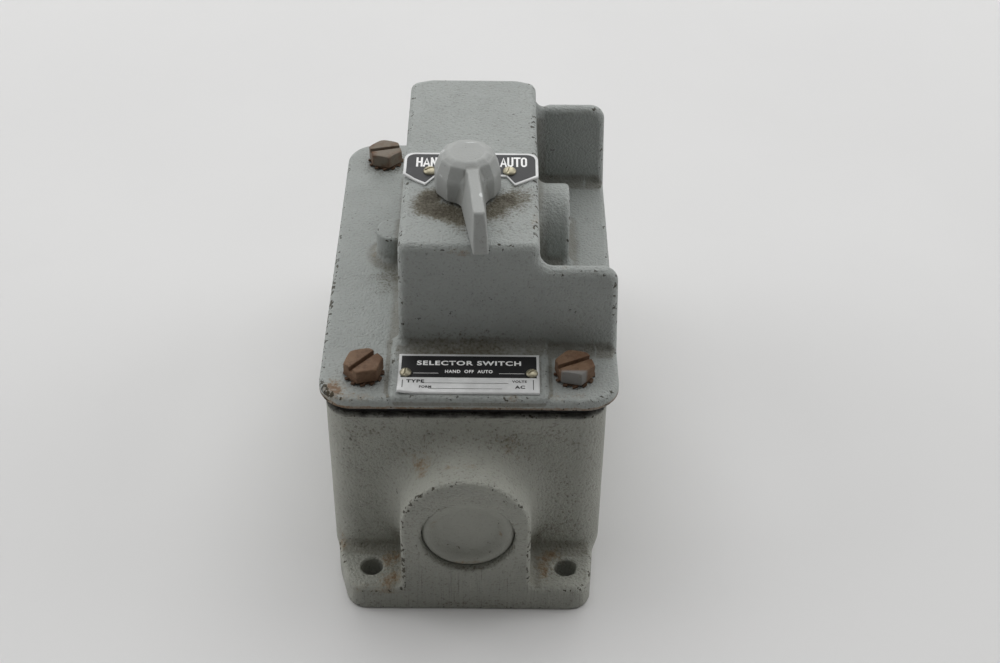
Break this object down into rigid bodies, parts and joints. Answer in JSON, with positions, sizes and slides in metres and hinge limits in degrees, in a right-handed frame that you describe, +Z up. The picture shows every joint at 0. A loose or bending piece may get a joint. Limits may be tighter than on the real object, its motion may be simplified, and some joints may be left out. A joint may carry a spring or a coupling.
{
  "type": "selector switch station for a motor starter",
  "caption": "Cast-iron control station with a three-position lever selector switch, a tall cover housing with guard walls, conduit hubs and mounting feet.",
  "frame": {"origin": "middle of the flat underside, where the feet stand", "axes": "+X to the right seen from the closed conduit hub, +Y from the closed hub to the open hub, +Z up through the cover and along the operator shaft"},
  "size_m": [0.095, 0.1814, 0.1321],
  "materials": {
    "cast_enamel": "pale grey-green enamel over sand casting, worn",
    "knob_enamel": "light grey enamel on die casting, chipped",
    "rusty_steel": "rust-brown plated steel",
    "plain_steel": "zinc-plated",
    "dark_steel": "black oxide",
    "brass": "tarnished",
    "copper": "copper alloy with silver tips",
    "black_phenolic": "moulded phenolic",
    "white_nylon": "moulded nylon",
    "rubber": "matt",
    "legend_enamel": "black enamel on aluminium with a white border",
    "plate_aluminium": "etched black band over bare metal",
    "green_steel": "green dyed screw"
  },
  "bodies": {
    "enclosure": {"base": "cast_enamel", "hub_plug": "cast_enamel", "cover_gasket": "rubber", "cover": "cast_enamel", "cover_bolts": "rusty_steel", "lock_washers": "rusty_steel", "shaft_bushing": "brass", "shaft_seal": "rubber", "detent_spring": "plain_steel", "detent_screw": "plain_steel", "legend_plate": "legend_enamel", "legend_screws": "brass", "nameplate": "plate_aluminium", "nameplate_screws": "brass", "contact_block": "black_phenolic", "block_screws": "plain_steel", "block_cover": "black_phenolic", "block_cover_screws": "plain_steel", "left_spring": "plain_steel", "right_spring": "plain_steel", "stationary_contacts": "brass", "wire_clamps": "plain_steel", "terminal_screws": "brass", "ground_screw": "green_steel"},
    "selector": {"selector_knob": "knob_enamel", "knob_set_screw": "dark_steel", "selector_shaft": "plain_steel", "thrust_washer": "brass", "retaining_clip": "dark_steel", "operating_cam": "white_nylon", "cam_pin": "plain_steel", "detent_wheel": "plain_steel"},
    "left_contact": {"left_plunger": "white_nylon", "left_bridge": "copper"},
    "right_contact": {"right_plunger": "white_nylon", "right_bridge": "copper"}
  },
  "joints": [
    {"name": "selector_turn", "type": "hinge", "parent": "enclosure", "child": "selector", "pos_m": [-0.001, -0.0162, 0.1181], "axis": [0, 0, 1], "range_deg": [-45, 45]},
    {"name": "left_contact_travel", "type": "slide", "parent": "enclosure", "child": "left_contact", "axis": [0, 0, -1], "range_m": [-0.0025, 0.0025], "deforming": ["left_spring"]},
    {"name": "right_contact_travel", "type": "slide", "parent": "enclosure", "child": "right_contact", "axis": [0, 0, -1], "range_m": [-0.0025, 0.0025], "deforming": ["right_spring"]}
  ],
  "couplings": [
    {"joint": "left_contact_travel", "follows": "selector_turn", "m_per_rad": 0.00318},
    {"joint": "right_contact_travel", "follows": "selector_turn", "m_per_rad": -0.00318}
  ]
}
